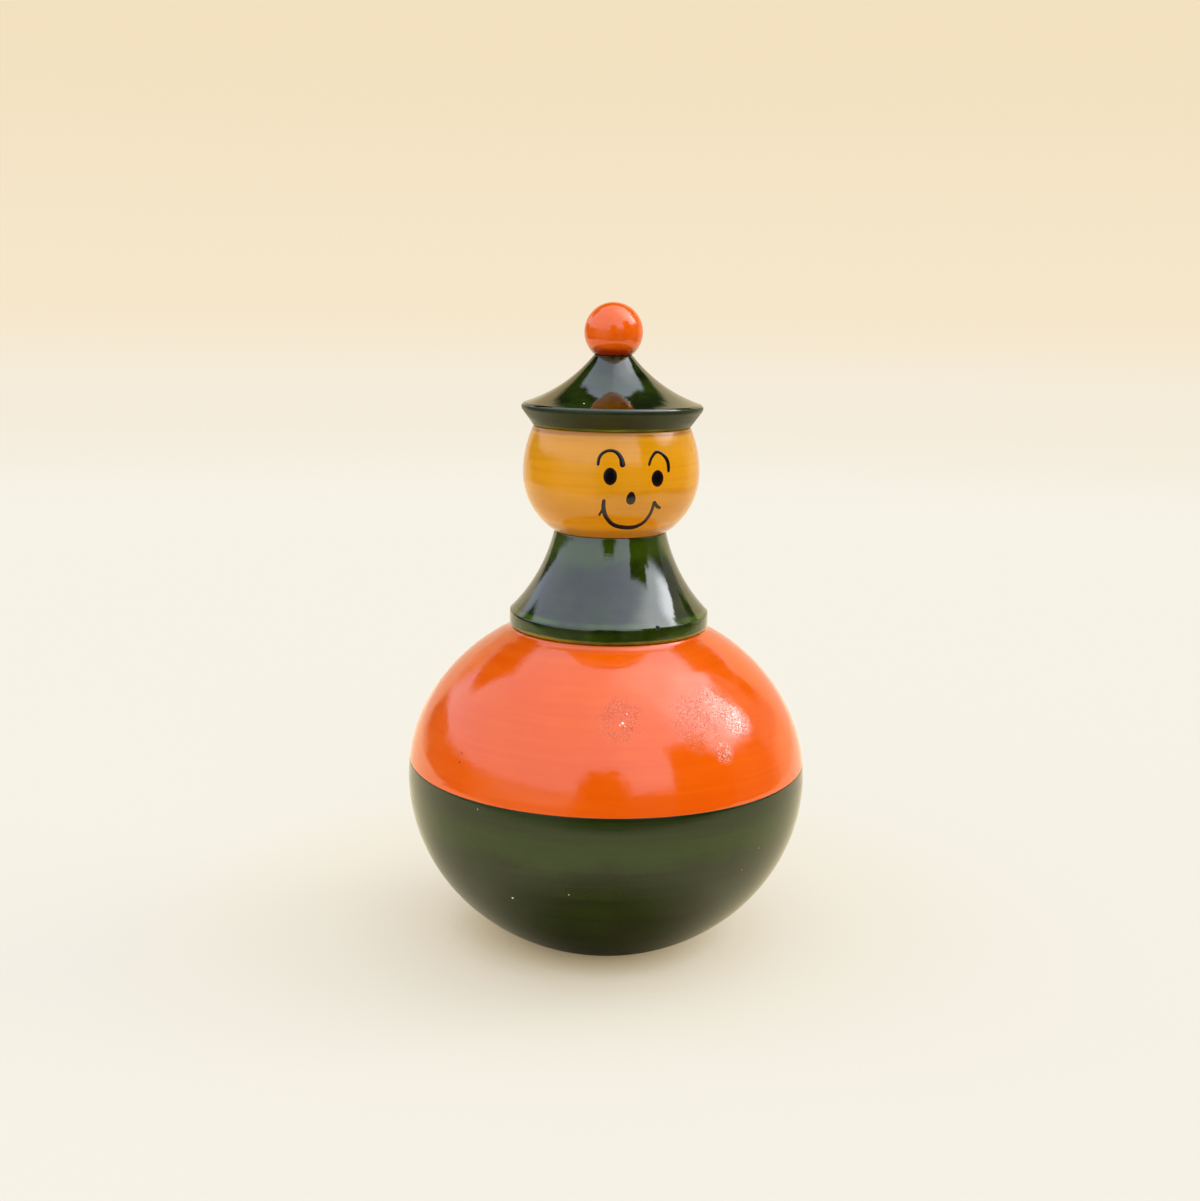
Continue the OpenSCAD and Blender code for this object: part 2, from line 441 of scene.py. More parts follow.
    def banded(self, tree: Tree, place: Socket, clouds: Socket, colour: Socket) -> Socket:
        """Lay the bands over a colour.

        Args:
            tree: The node tree to add to.
            place: The point on the doll in millimetres.
            clouds: Noise that makes the bands' edges waver.
            colour: The colour under the bands.

        Returns:
            The banded colour.
        """
        height = add_node(tree, Step.HEIGHT, place)
        for band in self.bands:
            waver = add_node(tree, Step.MULTIPLY_ADD, clouds, band.spread, -0.5 * band.spread)
            off = add_node(tree, Step.SUBTRACT, add_node(tree, Step.ADD, height, waver), band.height)
            off = add_node(tree, Step.ABSOLUTE, off)
            core = self.band_core * band.spread
            ring = add_node(tree, Step.EASE, off, core, band.spread, band.strength, 0.0)
            breaks = self.rings(tree, place, self.break_height, self.break_lengths)
            breaks = add_node(tree, Step.EASE, breaks, *self.breaking, 1.0 - band.broken, 1.0)
            share = add_node(tree, Step.MULTIPLY, ring, breaks)
            colour = add_node(tree, Step.BLEND, colour, linear(band.colour), share)
        return colour


@dataclass(frozen=True)
class BrushedPaint(Finish):
    """Black oil enamel laid on with a fine brush.

    The eye sees a near black line that shines on its crown and thins to brown along its edges.
    """

    full: str = "#080304"
    edge: str = "#3a1810"
    # The bristles leave at least this share of the thin edge brown.
    least_worn: float = 0.4
    roughness: float = 0.18
    rough_shares: Pair = (0.8, 1.4)
    bristle: float = 0.12
    bristle_depth: float = 0.004

    def paint(self, tree: Tree, shader: bpy.types.Node) -> None:
        """Colour the paint by its thickness and leave faint bristle marks in it."""
        marks = self.cloud(tree, self.place(tree), self.bristle)
        worn = add_node(tree, Step.EASE, marks, *NOISE_SPAN, self.least_worn, 1.0)
        worn = add_node(tree, Step.MULTIPLY, add_node(tree, Step.THIN_SHARE), worn)
        colour = add_node(tree, Step.BLEND, linear(self.full), linear(self.edge), worn)
        rough = self.uneven(tree, marks, self.roughness, self.rough_shares)
        high = add_node(tree, Step.MULTIPLY, marks, self.bristle_depth)
        self.wire(tree, shader, colour, rough, high)


@dataclass(frozen=True)
class DowelWood(Finish):
    """Beech drawn through a dowel plate.

    The eye sees pale straight grain along the rod, with short darker flecks and no gloss.
    """

    pale: str = "#dcbc8c"
    dark: str = "#b98d58"
    # Noise at which pale wood gives way to dark grain.
    darkening: Pair = (0.42, 0.68)
    grain: float = 0.6
    grain_detail: float = 5.0
    fleck_length: float = 9.0
    roughness: float = 0.6
    rough_shares: Pair = (1.0, 1.25)
    grain_depth: float = 0.01

    def paint(self, tree: Tree, shader: bpy.types.Node) -> None:
        """Draw the grain along the axis."""
        along = (1 / self.grain, 1 / self.grain, 1 / self.fleck_length)
        way = add_node(tree, Step.STRETCH, self.place(tree), along)
        grain = add_node(tree, Step.NOISE, way, 1.0, self.grain_detail)
        share = add_node(tree, Step.EASE, grain, *self.darkening)
        colour = add_node(tree, Step.BLEND, linear(self.pale), linear(self.dark), share)
        rough = self.uneven(tree, grain, self.roughness, self.rough_shares)
        high = add_node(tree, Step.MULTIPLY, grain, self.grain_depth)
        self.wire(tree, shader, colour, rough, high)


@dataclass(frozen=True)
class TurnedSteel(Finish):
    """Steel bar faced off on a lathe, or a plated screw.

    The eye sees grey metal with fine rings about its middle and a slightly cloudy sheen.
    """

    bright: str = "#a9abad"
    dull: str = "#7d7f82"
    ring: float = 0.35
    ring_depth: float = 0.004
    cloud_size: float = 4.0
    roughness: float = 0.34
    rough_shares: Pair = (0.8, 1.3)

    def paint(self, tree: Tree, shader: bpy.types.Node) -> None:
        """Cut the rings and cloud the metal."""
        place = self.place(tree)
        out = add_node(tree, Step.LENGTH, self.from_axis(tree, place))
        turns = add_node(tree, Step.SINE, add_node(tree, Step.MULTIPLY, out, math.tau / self.ring))
        clouds = self.cloud(tree, place, self.cloud_size)
        share = add_node(tree, Step.EASE, clouds, *NOISE_SPAN)
        colour = add_node(tree, Step.BLEND, linear(self.dull), linear(self.bright), share)
        rough = self.uneven(tree, clouds, self.roughness, self.rough_shares)
        shader.inputs["Metallic"].default_value = 1.0
        high = add_node(tree, Step.MULTIPLY, turns, self.ring_depth / 2)
        self.wire(tree, shader, colour, rough, high)


class Corner(NamedTuple):
    """A point of an outline, how far its corner is softened, and whether it is bare wood."""

    r: float
    z: float
    soft: float = 0.0
    bare: bool = False


@dataclass
class Outline:
    """Half section of a turned piece, walked with the wood on its left."""

    corners: list[Corner] = field(default_factory=list)
    bare: bool = False
    # Each softened corner is drawn in this many steps, over no more than this share of a side.
    soft_steps: int = 5
    most_of_side: float = 0.9

    def to(self, r: float, z: float, soft: float = 0.0) -> "Outline":
        """Go straight to a point, whose corner may be softened."""
        self.corners.append(Corner(r, z, soft, self.bare))
        return self

    def inside(self, bare: bool = True) -> "Outline":
        """Say whether what follows is bare wood inside the doll."""
        self.bare = bare
        return self

    def arc(self, centre: Vector, radius: float, start: float, end: float, steps: int) -> "Outline":
        """Go round an arc.

        Args:
            centre: Distance from the axis and height of the arc's centre.
            radius: Radius of the arc.
            start: Angle of its first point, from straight outwards.
            end: Angle of its last point.
            steps: Number of steps along it.

        Returns:
            This outline.
        """
        for i in range(steps + 1):
            turned = math.radians(start + (end - start) * i / steps)
            self.to(centre.x + radius * math.cos(turned), centre.y + radius * math.sin(turned))
        return self

    def follow(self, radius_at: Callable[[float], float], low: float, high: float, steps: int) -> "Outline":
        """Follow a curve that gives a radius for each height.

        Args:
            radius_at: The curve.
            low: Height at which it is joined.
            high: Height at which it is left, which may be the lower of the two.
            steps: Number of steps along it, which are shorter towards both ends.

        Returns:
            This outline.
        """
        for i in range(steps + 1):
            share = 0.5 - 0.5 * math.cos(math.pi * i / steps)
            height = low + (high - low) * share
            self.to(radius_at(height), height)
        return self

    def soften_last(self, soft: float) -> "Outline":
        """Soften the corner that was reached last."""
        self.corners[-1] = self.corners[-1]._replace(soft=soft)
        return self

    def softened(self) -> list[Corner]:
        """Return the outline with each soft corner drawn as a small curve."""
        drawn: list[Corner] = []
        count = len(self.corners)
        for i, corner in enumerate(self.corners):
            if not corner.soft:
                drawn.append(corner)
                continue
            here = Vector((corner.r, corner.z))
            ends = []
            for other in (self.corners[i - 1], self.corners[(i + 1) % count]):
                way = Vector((other.r, other.z)) - here
                ends.append(here + way.normalized() * min(corner.soft, self.most_of_side * way.length))
            for step in range(self.soft_steps + 1):
                t = step / self.soft_steps
                point = ends[0] * (1 - t) ** 2 + here * 2 * t * (1 - t) + ends[1] * t ** 2
                drawn.append(Corner(point.x, point.y, 0.0, corner.bare))
        return drawn


def new_piece(name: str, mesh: bpy.types.Mesh) -> bpy.types.Object:
    """Put a mesh into the scene as a piece with smooth faces and crisp edges."""
    mesh.validate()
    mesh.shade_smooth()
    mesh.set_sharp_from_angle(angle=math.radians(CRISP_EDGE))
    piece = bpy.data.objects.new(name, mesh)
    bpy.context.scene.collection.objects.link(piece)
    return piece


def turn(name: str, outline: Outline) -> bpy.types.Object:
    """Spin an outline about the doll's axis into a closed mesh with a map for baking.

    Args:
        name: Name of the piece.
        outline: Its half section, which starts and ends on the axis or else closes on itself.

    Returns:
        The new piece.
    """
    section = outline.softened()
    closed = section[0].r > 0
    points: list[tuple[float, float, float]] = []
    bare: list[float] = []
    rows: list[list[int]] = []
    for corner in section:
        steps = TURN_STEPS if corner.r > 0 else 1
        rows.append([len(points) + step for step in range(steps)] * (TURN_STEPS // steps))
        for step in range(steps):
            round_axis = math.tau * step / steps
            x = corner.r * MM * math.cos(round_axis)
            points.append((x, corner.r * MM * math.sin(round_axis), corner.z * MM))
            bare.append(float(corner.bare))
    if closed:
        section.append(section[0])
        rows.append(rows[0])

    lengths = [math.hypot(b.r - a.r, b.z - a.z) * (INNER_SHARE if a.bare and b.bare else 1.0)
               for a, b in zip(section, section[1:])]
    whole = sum(lengths)
    faces: list[list[int]] = []
    places: list[tuple[float, float]] = []
    walked = 0.0
    for low, high, length in zip(rows, rows[1:], lengths):
        v_low = walked / whole
        walked += length
        v_high = walked / whole
        for step in range(TURN_STEPS):
            after = (step + 1) % TURN_STEPS
            left = step / TURN_STEPS
            right = (step + 1) / TURN_STEPS
            middle = (left + right) / 2
            if low[step] == low[after]:
                faces.append([low[step], high[after], high[step]])
                places += [(middle, v_low), (right, v_high), (left, v_high)]
            elif high[step] == high[after]:
                faces.append([low[step], low[after], high[step]])
                places += [(left, v_low), (right, v_low), (middle, v_high)]
            else:
                faces.append([low[step], low[after], high[after], high[step]])
                places += [(left, v_low), (right, v_low), (right, v_high), (left, v_high)]

    mesh = bpy.data.meshes.new(name)
    mesh.from_pydata(points, [], faces)
    layer = mesh.uv_layers.new(name=BAKE_MAP)
    layer.uv.foreach_set("vector", [number for place in places for number in place])
    mesh.attributes.new(BARE, "FLOAT", "POINT").data.foreach_set("value", bare)
    return new_piece(name, mesh)


def settle(piece: bpy.types.Object, finish: Finish, node: str | None = None) -> None:
    """Give a piece its finish and its place on the doll.

    Args:
        piece: The new piece.
        finish: Its finish.
        node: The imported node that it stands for, if any.
    """
    piece.data.materials.append(finish.material())
    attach(piece, WHOLE_DOLL)
    if node:
        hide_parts(node)
    log.info("%s: %s, %d faces", piece.name, finish.name, len(piece.data.polygons))


def finish_faces(piece: bpy.types.Object, finish: Finish, chosen: Callable[[Vector, Vector], bool]) -> None:
    """Give some faces of a piece a finish of their own.

    Args:
        piece: The piece, which has its first finish already.
        finish: The other finish.
        chosen: Says from a face's middle, in millimetres, and its normal whether it gets the other finish.
    """
    piece.data.materials.append(finish.material())
    for face in piece.data.polygons:
        face.material_index = int(chosen(face.center / MM, face.normal))


def refinish(node: str, finish: Finish) -> None:
    """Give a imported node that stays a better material."""
    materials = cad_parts[node].data.materials
    materials.clear()
    materials.append(finish.material())
    log.info("%s: %s, packed mesh kept", node, finish.name)


class Span(NamedTuple):
    """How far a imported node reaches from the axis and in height."""

    radius: float
    low: float
    high: float


def span(node: str) -> Span:
    """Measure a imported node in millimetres."""
    low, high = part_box(node)
    return Span(high.x / MM, low.z / MM, high.z / MM)


def sweep_centre(top: Vector, edge: Vector, sweep_r: float, edge_r: float) -> Vector:
    """Find the centre of a hollow sweep that ends at top and runs smoothly off a rounded edge.

    Args:
        top: Distance from the axis and height of the sweep's upper end.
        edge: The same for the centre of the rounded edge.
        sweep_r: Radius of the sweep.
        edge_r: Radius of the edge.

    Returns:
        The centre of the sweep.
    """
    way = edge - top
    ahead = way.normalized()
    along = (sweep_r ** 2 - (sweep_r + edge_r) ** 2 + way.length_squared) / (2 * way.length)
    across = math.sqrt(sweep_r ** 2 - along ** 2)
    return top + along * ahead + across * Vector((-ahead.y, ahead.x))


def heading(way: Vector) -> float:
    """Return the angle of a direction in an outline, from straight outwards."""
    return math.degrees(math.atan2(way.y, way.x))


# Glue room round each pin, and room beyond its end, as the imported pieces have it.
GLUE_GAP = 0.1
END_GAP = 0.5

BOWL_LAC = Lac(
    "green lac on turned wood, satin",
    thick="#1c2604", thin="#243205", streak=1.1, streak_depth=0.0, roughness=0.16, shine=0.45,
    wave_depth=0.008, bands=(Band(33.0, 5.0, "#2c4405", 0.5),),
    flecks=(
        Fleck(Spot(-40.8, 21.7, 36.6), 0.55, "#f2efe2"),
        Fleck(Spot(-23.0, 24.5, 37.8), 0.42, "#a9b3a2"),
        Fleck(Spot(28.9, 26.5, 38.5), 0.36, "#99a290"),
        Fleck(Spot(34.2, 30.2, 39.4), 0.36, "#99a290"),
        Fleck(Spot(-49.2, 38.8, 39.9), 0.36, "#99a290"),
    ),
)
DOME_LAC = Lac(
    "orange lac on turned wood, burnished",
    thick="#e95a02", thin="#ed6105", streak=0.8, roughness=0.1, shine=0.7, wave_depth=0.05,
    flecks=(
        Fleck(Spot(-58.5, 46.1, 38.4), 0.6, "#7c1608"),
        Fleck(Spot(-58.5, 47.8, 37.8), 0.45, "#94260c"),
        Fleck(Spot(-8.3, 55.9, 33.15), 0.6, "#fff4ee"),
        Fleck(Spot(-9.2, 55.6, 33.4), 0.36, "#fbe0d6"),
        Fleck(Spot(-7.7, 55.4, 33.5), 0.3, "#fbe0d6"),
        Fleck(Spot(-6.8, 57.3, 32.0), 0.38, "#fde4da"),
    ),
    scuffs=(
        Scuff(Spot(25.0, 57.2, 32.0), 6.5, 0.2),
        Scuff(Spot(31.5, 54.3, 34.3), 4.2, 0.8),
        Scuff(Spot(22.5, 49.8, 36.9), 2.6, 0.7),
        Scuff(Spot(17.0, 55.6, 33.3), 7.5, 0.15),
        Scuff(Spot(-9.0, 56.5, 32.6), 6.0, 0.1),
    ),
)
COLLAR_LAC = Lac(
    "green lac on turned wood, burnished to a gloss",
    thick="#111a02", thin="#263503", streak=1.2, streak_contrast=0.25, cloud_size=6.0,
    roughness=0.05, shine=1.0, wave_size=2.0, wave_depth=0.025,
    bands=(
        Band(84.0, 4.0, "#3d5604", 0.6),
        Band(70.6, 0.7, "#4c6a0c", 0.6, 0.8),
        Band(68.6, 1.2, "#3c5a0a", 0.5, 0.9),
        Band(67.4, 0.6, "#9a8a16", 0.8, 0.8),
    ),
    flecks=(Fleck(Spot(15.0, 70.2, 19.7), 1.3, "#020401"),),
)
RIM_LAC = replace(
    COLLAR_LAC,
    name="green lac on the collar's rim, worn duller",
    roughness=0.12, shine=0.4,
)
HEAD_LAC = Lac(
    "amber lac over pale turned wood",
    thick="#d99104", thin="#e19906", streak=0.75, streak_lengths=6.0, streak_contrast=0.75,
    cloud_size=9.0, roughness=0.16, shine=0.6,
    bands=(
        # Painted shade, darker over the lower half of the head, which faces down.
        Band(92.5, 4.5, "#b07204", 0.4),
        # Painted shade at the chin, over the collar.
        Band(87.2, 1.8, "#9c5604", 0.6),
        # Painted shadow round the head's top, under the hat's brim.
        Band(106.4, 0.7, "#8a4f10", 0.6),
    ),
    flecks=(Fleck(Spot(53.3, 102.9, 16.7), 0.5, "#6b3a0c"),),
)
HAT_LAC = replace(
    COLLAR_LAC,
    name="green lac on the turned hat, burnished to a gloss",
    bands=(),
    flecks=(Fleck(Spot(-33.7, 111.9, 15.2), 0.4, "#dfe6d4"),),
)
UNDER_LAC = replace(
    HAT_LAC,
    name="green lac under the brim, left as it ran",
    thick="#1a2404", thin="#242f04", roughness=0.4, shine=0.3,
    bands=(Band(107.0, 0.4, "#8c8a1c", 0.6, 0.6),),
    flecks=(),
)
BALL_LAC = replace(
    DOME_LAC,
    name="orange lac on the turned ball, burnished",
    thick="#ec5d03", thin="#f06406",
    # Painted shade round the ball's foot, where it sits on the hat.
    bands=(Band(120.6, 1.7, "#8a1e04", 0.9),),
    flecks=(),
    scuffs=(),
)
FACE_PAINT = BrushedPaint("black oil enamel, brushed on")
DOWEL_WOOD = DowelWood("beech dowel, left bare")
WEIGHT_STEEL = TurnedSteel("mild steel bar, faced on a lathe")
SCREW_STEEL = TurnedSteel("zinc plated screw", bright="#c4c6c4", dull="#a3a7a6", ring=0.6, roughness=0.26)


@dataclass
class WeightedBody:
    """The two hollow halves of the body, spigoted together, and the weight screwed inside."""

    base_h: float = 36.5
    dome_h: float = 34.6
    wall: float = 6.0
    seam_lap: float = 5.0
    crown_t: float = 10.0
    ballast_inset: float = 3.0
    screw_cover: float = 2.5
    screw_r: float = 2.0
    tenon_r: float = 10.0
    # The collar's rim is rounded under by this much, so the dome meets it further in.
    rim_foot_round: float = 0.8
    # The seam is sanded through both halves, so only a hair line is left between them.
    seam_soft: float = 0.14
    # Lac heaped up where the dome meets the collar.
    bead_width: float = 0.7
    bead_height: float = 0.16
    # Steps along the bowl, the dome, the bead and the walls inside.
    bowl_steps: int = 40
    dome_steps: int = 32
    bead_steps: int = 8
    wall_steps: int = 16
    # The bowl goes on above its widest place in this many steps, of which the first starts this far up.
    seam_steps: int = 4
    above_middle: float = 0.5

    def __post_init__(self) -> None:
        """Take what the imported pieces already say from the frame."""
        bowl = span("lower_bowl")
        weight = span("ballast_weight")
        self.radius = bowl.radius
        self.seam_z = bowl.high
        self.crown_z = span("upper_dome").high
        self.seat_r = span("collar").radius - self.rim_foot_round
        self.ballast_r = weight.radius
        self.ballast_z = weight.low

    def skin_radius(self, height: float, inset: float = 0.0) -> float:
        """Return the radius of the egg-round body at a height, set in from its outer face by inset."""
        reach = (self.base_h if height < self.base_h else self.dome_h) - inset
        share = min(1.0, abs(height - self.base_h) / reach)
        return (self.radius - inset) * math.sqrt(1.0 - share ** 2)

    def wall_radius(self, height: float) -> float:
        """Return the radius of the space inside the body at a height."""
        return self.skin_radius(height, self.wall)

    def lower_outline(self) -> Outline:
        """Draw the half section of the lower bowl, with its rebate, recess and screw hole."""
        lap_r = self.radius - self.wall / 2
        rebate_z = self.seam_z - self.seam_lap - END_GAP
        floor_z = self.ballast_z + self.ballast_inset
        recess_r = self.ballast_r + GLUE_GAP
        hole_r = self.screw_r + GLUE_GAP
        outline = Outline()
        for i in range(self.bowl_steps + 1):
            turned = math.pi / 2 * i / self.bowl_steps
            outline.to(self.radius * math.sin(turned), self.base_h * (1 - math.cos(turned)))
        outline.follow(self.skin_radius, self.base_h + self.above_middle, self.seam_z, self.seam_steps)
        outline.soften_last(self.seam_soft)
        outline.inside().to(lap_r, self.seam_z).to(lap_r, rebate_z)
        outline.follow(self.wall_radius, rebate_z, floor_z, self.wall_steps)
        outline.to(recess_r, floor_z).to(recess_r, self.ballast_z)
        outline.to(hole_r, self.ballast_z).to(hole_r, self.screw_cover)
        return outline.to(0.0, self.screw_cover)

    def upper_outline(self) -> Outline:
        """Draw the half section of the upper dome, with its spigot and the hole for the collar."""
        spigot_r = self.radius - self.wall / 2 - GLUE_GAP
        spigot_z = self.seam_z - self.seam_lap
        roof_z = self.crown_z - self.crown_t
        hole_r = self.tenon_r + GLUE_GAP
        seat = Vector((self.seat_r, self.crown_z))
        bead_r = self.seat_r + self.bead_width
        bead = Vector((bead_r, self.base_h + self.dome_h * math.sqrt(1 - (bead_r / self.radius) ** 2)))
        outline = Outline(bare=True)
        outline.to(spigot_r, spigot_z).to(spigot_r, self.seam_z)
        outline.inside(False).to(self.skin_radius(self.seam_z), self.seam_z, self.seam_soft)
        seam_turn = math.asin((self.seam_z - self.base_h) / self.dome_h)
        bead_turn = math.acos(bead_r / self.radius)
        for i in range(1, self.dome_steps + 1):
            turned = seam_turn + (bead_turn - seam_turn) * i / self.dome_steps
            outline.to(self.radius * math.cos(turned), self.base_h + self.dome_h * math.sin(turned))
        way = seat - bead
        out = Vector((way.y, -way.x)).normalized()
        for i in range(1, self.bead_steps):
            share = i / self.bead_steps
            on = bead + way * share + out * self.bead_height * math.sin(math.pi * share)
            outline.to(on.x, on.y)
        outline.to(*seat)
        outline.inside().to(hole_r, self.crown_z).to(hole_r, roof_z)
        return outline.follow(self.wall_radius, roof_z, spigot_z, self.wall_steps)

    def build(self) -> None:
        """Turn the two halves."""
        self.lower = turn("body_lower_bowl", self.lower_outline())
        self.upper = turn("body_upper_dome", self.upper_outline())

    def dress(self) -> None:
        """Lacquer the halves and give the weight and its screw their metal."""
        settle(self.lower, BOWL_LAC, "lower_bowl")
        settle(self.upper, DOME_LAC, "upper_dome")
        refinish("ballast_weight", WEIGHT_STEEL)
        refinish("ballast_screw", SCREW_STEEL)


@dataclass
class FlaredCollar:
    """The flared collar on its tenon, and the dowel that pins the head and hat to it."""

    rim_h: float = 2.8
    rim_round: float = 1.0
    rim_foot_round: float = 0.8
    sweep_r: float = 33.0
    tenon_r: float = 10.0
    neck_soft: float = 0.15
    rim_steps: int = 8
    sweep_steps: int = 40
    # The sweep starts this far past the rim's last point, so that no two points meet.
    sweep_skip: float = 0.5

    def __post_init__(self) -> None:
        """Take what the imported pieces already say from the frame."""
        collar = span("collar")
        dowel = span("neck_dowel")
        self.radius = collar.radius
        self.tenon_z = collar.low
        self.neck_z = collar.high
        self.foot_z = span("upper_dome").high
        self.bore_r = dowel.radius + GLUE_GAP
        self.bore_z = dowel.low - END_GAP

    def outline(self, neck_r: float) -> Outline:
        """Draw the half section of the collar.

        Args:
            neck_r: Radius of the head's foot, which the neck meets.

        Returns:
            The outline.
        """
        foot = Vector((self.radius - self.rim_foot_round, self.foot_z + self.rim_foot_round))
        edge = Vector((self.radius - self.rim_round, self.foot_z + self.rim_h))
        top = Vector((neck_r, self.neck_z))
        centre = sweep_centre(top, edge, self.sweep_r, self.rim_round)
        leave = heading(centre - edge)
        start = leave - 180.0 + self.sweep_skip
        outline = Outline(bare=True)
        outline.to(0.0, self.tenon_z).to(self.tenon_r, self.tenon_z).to(self.tenon_r, self.foot_z)
        outline.inside(False).arc(foot, self.rim_foot_round, -90.0, 0.0, self.rim_steps)
        outline.arc(edge, self.rim_round, 0.0, leave, self.rim_steps)
        outline.arc(centre, self.sweep_r, start, heading(top - centre), self.sweep_steps)
        outline.soften_last(self.neck_soft)
        outline.inside().to(self.bore_r, self.neck_z).to(self.bore_r, self.bore_z)
        return outline.to(0.0, self.bore_z)

    def is_rim(self, middle: Vector, _normal: Vector) -> bool:
        """Say whether a face of the collar belongs to its rim."""
        return middle.z < self.foot_z + self.rim_h and middle.xy.length > self.radius - self.rim_foot_round

    def build(self, neck_r: float) -> None:
        """Turn the collar to meet a head's foot of that radius."""
        self.collar = turn("flared_collar", self.outline(neck_r))

    def dress(self) -> None:
        """Lacquer the collar and its rim, and leave the dowel bare."""
        settle(self.collar, COLLAR_LAC, "collar")
        finish_faces(self.collar, RIM_LAC, self.is_rim)
        refinish("neck_dowel", DOWEL_WOOD)


class Brush(NamedTuple):
    """Where the brush is on the face and how wide it presses."""

    angle: float
    height: float
    width: float


@dataclass(frozen=True)
class Stroke:
    """A line drawn through a few places with one pull of the brush."""

    marks: tuple[Brush, ...]

    def at(self, share: float) -> Brush:
        """Return the brush part of the way along, on a smooth curve through the marks.

        Args:
            share: From 0 at the first mark to 1 at the last.

        Returns:
            The brush there.
        """
        last = len(self.marks) - 1
        along = share * last
        first = min(int(along), last - 1)
        t = along - first
        a, b, c, d = (self.marks[min(max(first + i, 0), last)] for i in (-1, 0, 1, 2))
        numbers = []
        for p, q, r, s in zip(a, b, c, d):
            bend = t * (2 * p - 5 * q + 4 * r - s + t * (3 * q - p - 3 * r + s))
            numbers.append(q + 0.5 * t * (r - p + bend))
        return Brush(*numbers)


@dataclass(frozen=True)
class Dab:
    """A filled oval pressed on with a full brush."""

    angle: float
    height: float
    half_width: float
    half_height: float
    # How much narrower its top is than its foot.
    egg: float = 0.0


LEFT_BROW = Stroke((
    Brush(-21.7, 14.5, 0.58), Brush(-21.0, 16.0, 0.66), Brush(-18.4, 16.95, 0.6), Brush(-14.2, 17.35, 0.6),
    Brush(-10.0, 17.0, 0.72), Brush(-7.2, 15.9, 0.92), Brush(-6.1, 14.3, 1.25),
))
RIGHT_BROW = Stroke((
    Brush(10.8, 14.5, 0.54), Brush(12.3, 15.7, 0.6), Brush(15.5, 16.8, 0.6), Brush(18.5, 17.0, 0.64),
    Brush(22.4, 16.3, 0.78), Brush(25.1, 15.0, 0.92), Brush(25.2, 13.1, 0.75),
))
MOUTH = Stroke((
    Brush(-17.5, 8.3, 0.66), Brush(-17.9, 6.4, 0.9), Brush(-15.9, 4.6, 0.9), Brush(-10.8, 3.15, 0.92),
    Brush(-2.1, 2.6, 0.95), Brush(6.1, 2.7, 0.95), Brush(12.0, 3.65, 0.88), Brush(15.0, 5.5, 0.78),
    Brush(15.7, 7.8, 0.64),
))
LEFT_TICK = Stroke((Brush(-18.0, 6.4, 0.6), Brush(-19.7, 5.7, 0.52), Brush(-21.3, 5.0, 0.42)))
RIGHT_TICK = Stroke((Brush(15.6, 7.8, 0.62), Brush(18.3, 6.8, 0.68), Brush(22.0, 6.3, 0.5)))
EYES = (Dab(-13.9, 12.62, 1.36, 1.73), Dab(16.8, 12.12, 1.4, 1.66))
NOSE = Dab(-0.5, 8.52, 0.95, 1.34, 0.18)


